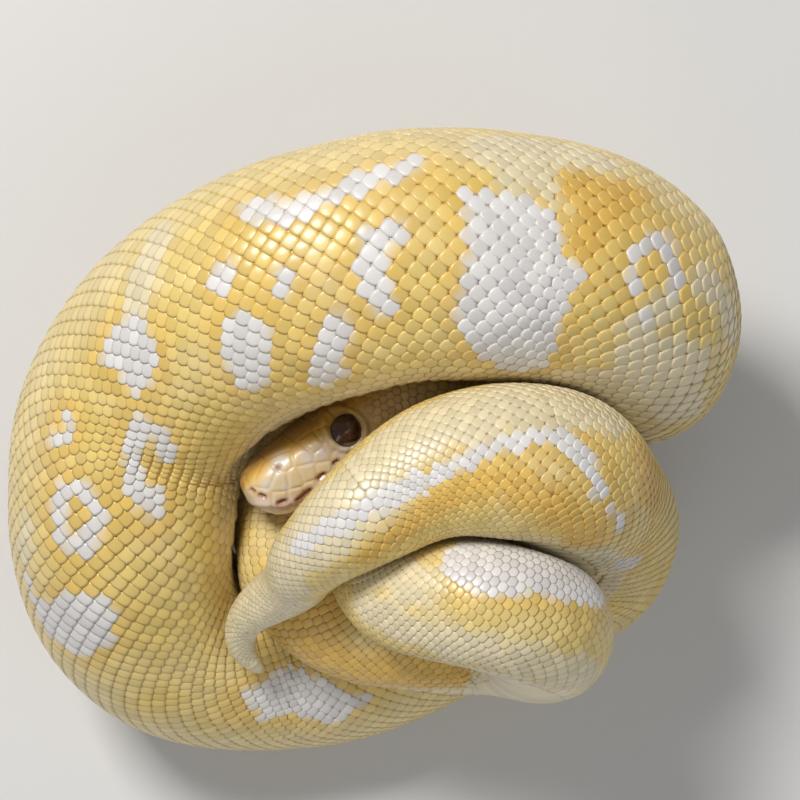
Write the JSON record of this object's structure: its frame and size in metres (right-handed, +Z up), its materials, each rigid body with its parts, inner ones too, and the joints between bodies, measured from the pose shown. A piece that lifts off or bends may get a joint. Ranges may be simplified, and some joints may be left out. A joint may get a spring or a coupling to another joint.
{
  "type": "coiled ball python",
  "caption": "Life-size ball python balled up in its own coils, yellow and white, head tucked under a coil and tail tip hooked on top.",
  "frame": {"origin": "on the floor under the middle of the whole coil", "axes": "+X to the right of the coil along its long side, +Y away across it, +Z up"},
  "size_m": [0.115, 0.0986, 0.0788],
  "materials": {
    "yellow_scales": "smooth satin scales",
    "white_scales": "smooth satin scales",
    "lip_scales": "smooth moist-looking lip and belly scales",
    "eye": "clear glossy spectacle over a dark red eye"
  },
  "bodies": {
    "root": {"head": "yellow_scales", "lower_jaw": "lip_scales", "eye_left": "eye", "eye_right": "eye", "neck": "yellow_scales", "trunk_1": "white_scales", "trunk_2": "yellow_scales", "trunk_3": "white_scales", "trunk_4": "yellow_scales", "trunk_5": "white_scales", "trunk_6": "yellow_scales", "trunk_7": "white_scales", "trunk_8": "yellow_scales", "trunk_9": "white_scales", "tail_base": "yellow_scales", "tail_tip": "white_scales"}
  },
  "joints": []
}
